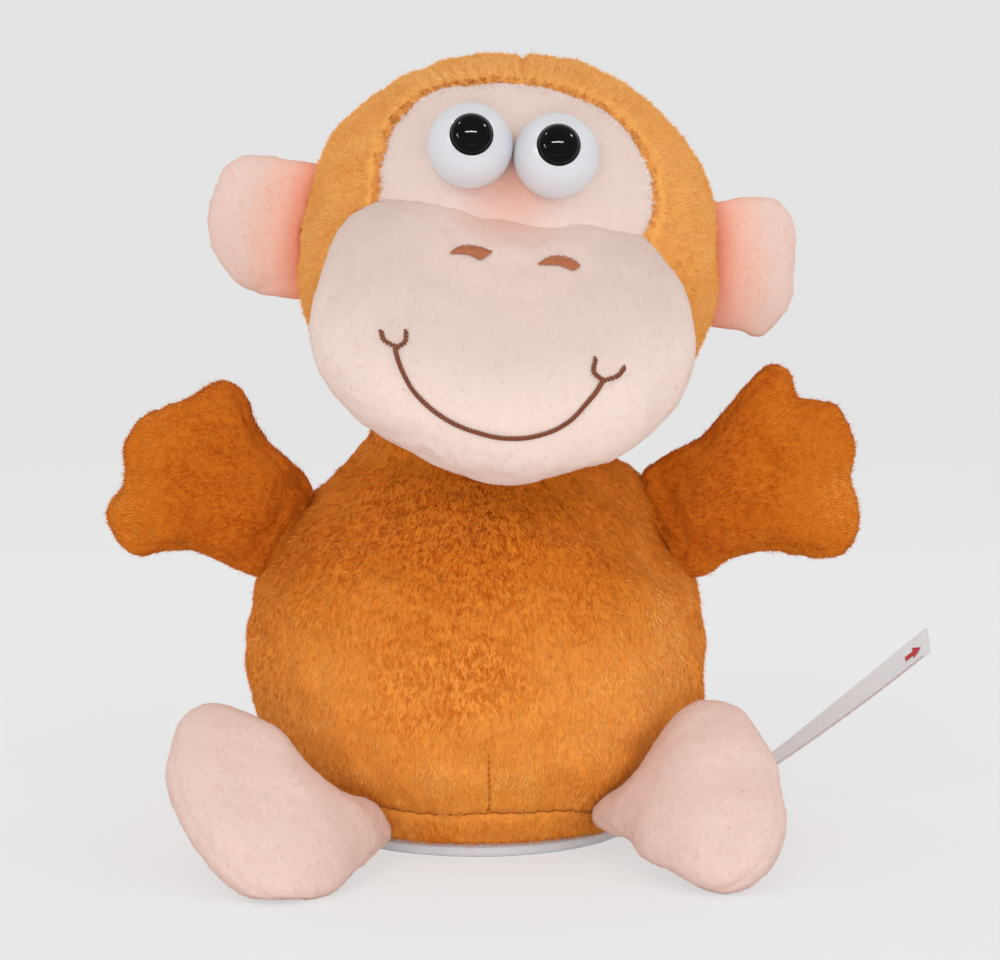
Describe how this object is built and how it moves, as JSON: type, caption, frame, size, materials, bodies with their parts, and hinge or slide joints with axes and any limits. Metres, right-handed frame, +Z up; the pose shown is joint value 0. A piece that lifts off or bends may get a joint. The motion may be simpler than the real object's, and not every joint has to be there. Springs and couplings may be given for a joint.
{
  "type": "talking stuffed monkey",
  "caption": "Plush monkey on a round plastic base with a battery bay, a speaker and a motor that nods the head through a gear train and a slotted lever.",
  "frame": {"origin": "centre of the round base, on the plane that the toy stands on", "axes": "+Z up; the toy faces -Y; +X on the right of a viewer who looks at the face"},
  "size_m": [0.1882, 0.126, 0.1753],
  "materials": {
    "base_plastic": "white moulded plastic",
    "grey_plastic": "grey moulded plastic",
    "black_plastic": "black moulded plastic",
    "gear_plastic": "natural acetal",
    "steel": "plated steel",
    "brass": "turned brass",
    "board": "green solder mask",
    "cell_sleeve": "plain printed sleeve",
    "clear_film": "clear polyester film",
    "brown_plush": "short-pile plush",
    "pink_plush": "short-pile plush",
    "face_plush": "short-pile plush",
    "eye_white": "white satin plastic",
    "eye_black": "polished black plastic"
  },
  "bodies": {
    "base": {"base_shell": "base_plastic", "base_deck": "base_plastic", "deck_screw_left": "steel", "deck_screw_right": "steel", "battery_1": "cell_sleeve", "battery_2": "cell_sleeve", "battery_3": "cell_sleeve", "contact_spring_1": "steel", "contact_spring_2": "steel", "contact_spring_3": "steel", "contact_plate_1": "steel", "contact_plate_2": "steel", "contact_plate_3": "steel", "contact_plate_4": "steel", "switch_body": "grey_plastic", "housing_front": "grey_plastic", "housing_back": "grey_plastic", "circuit_board": "board", "sound_chip": "black_plastic", "microphone": "steel", "speaker": "black_plastic", "frame_left": "gear_plastic", "frame_right": "gear_plastic", "gear_cover": "gear_plastic", "pivot_pin": "steel", "motor": "steel", "gear_pin": "steel", "body_plush": "brown_plush", "arm_left": "brown_plush", "arm_right": "brown_plush", "foot_left": "pink_plush", "foot_right": "pink_plush"},
    "head": {"neck_lever": "gear_plastic", "head_plush": "brown_plush", "muzzle": "face_plush", "face_patch": "face_plush", "eye_white_left": "eye_white", "eye_white_right": "eye_white", "eye_pupil_left": "eye_black", "eye_pupil_right": "eye_black", "eye_washer_left": "gear_plastic", "eye_washer_right": "gear_plastic", "ear_left": "pink_plush", "ear_right": "pink_plush"},
    "crank": {"crank_gear": "gear_plastic"},
    "second_gear": {"compound_gear": "gear_plastic"},
    "pinion": {"motor_pinion": "brass"},
    "switch": {"switch_knob": "black_plastic"},
    "door": {"battery_door": "base_plastic", "door_screw": "steel"},
    "tab": {"pull_tab": "clear_film"}
  },
  "joints": [
    {"name": "head_nod", "type": "hinge", "parent": "base", "child": "head", "pos_m": [0, 0, 0.08], "axis": [1, 0, 0], "range_deg": [-6, 6]},
    {"name": "crank_turn", "type": "hinge", "parent": "base", "child": "crank", "pos_m": [0, 0, 0.05198], "axis": [1, 0, 0], "continuous": true},
    {"name": "second_gear_turn", "type": "hinge", "parent": "base", "child": "second_gear", "pos_m": [0, 0.00868, 0.04164], "axis": [1, 0, 0], "continuous": true},
    {"name": "pinion_turn", "type": "hinge", "parent": "base", "child": "pinion", "pos_m": [0, 0, 0.0313], "axis": [1, 0, 0], "continuous": true},
    {"name": "switch_slide", "type": "slide", "parent": "base", "child": "switch", "axis": [1, 0, 0], "range_m": [0, 0.004]},
    {"name": "battery_door_lift", "type": "slide", "parent": "base", "child": "door", "axis": [0, 0, -1], "range_m": [0, 0.015]},
    {"name": "pull_tab_slide", "type": "slide", "parent": "base", "child": "tab", "axis": [1, 0, 0], "range_m": [0, 0.012]}
  ],
  "couplings": [
    {"joint": "crank_turn", "follows": "head_nod", "ratio": 8.4},
    {"joint": "second_gear_turn", "follows": "head_nod", "ratio": -33.6},
    {"joint": "pinion_turn", "follows": "head_nod", "ratio": 134.4}
  ]
}
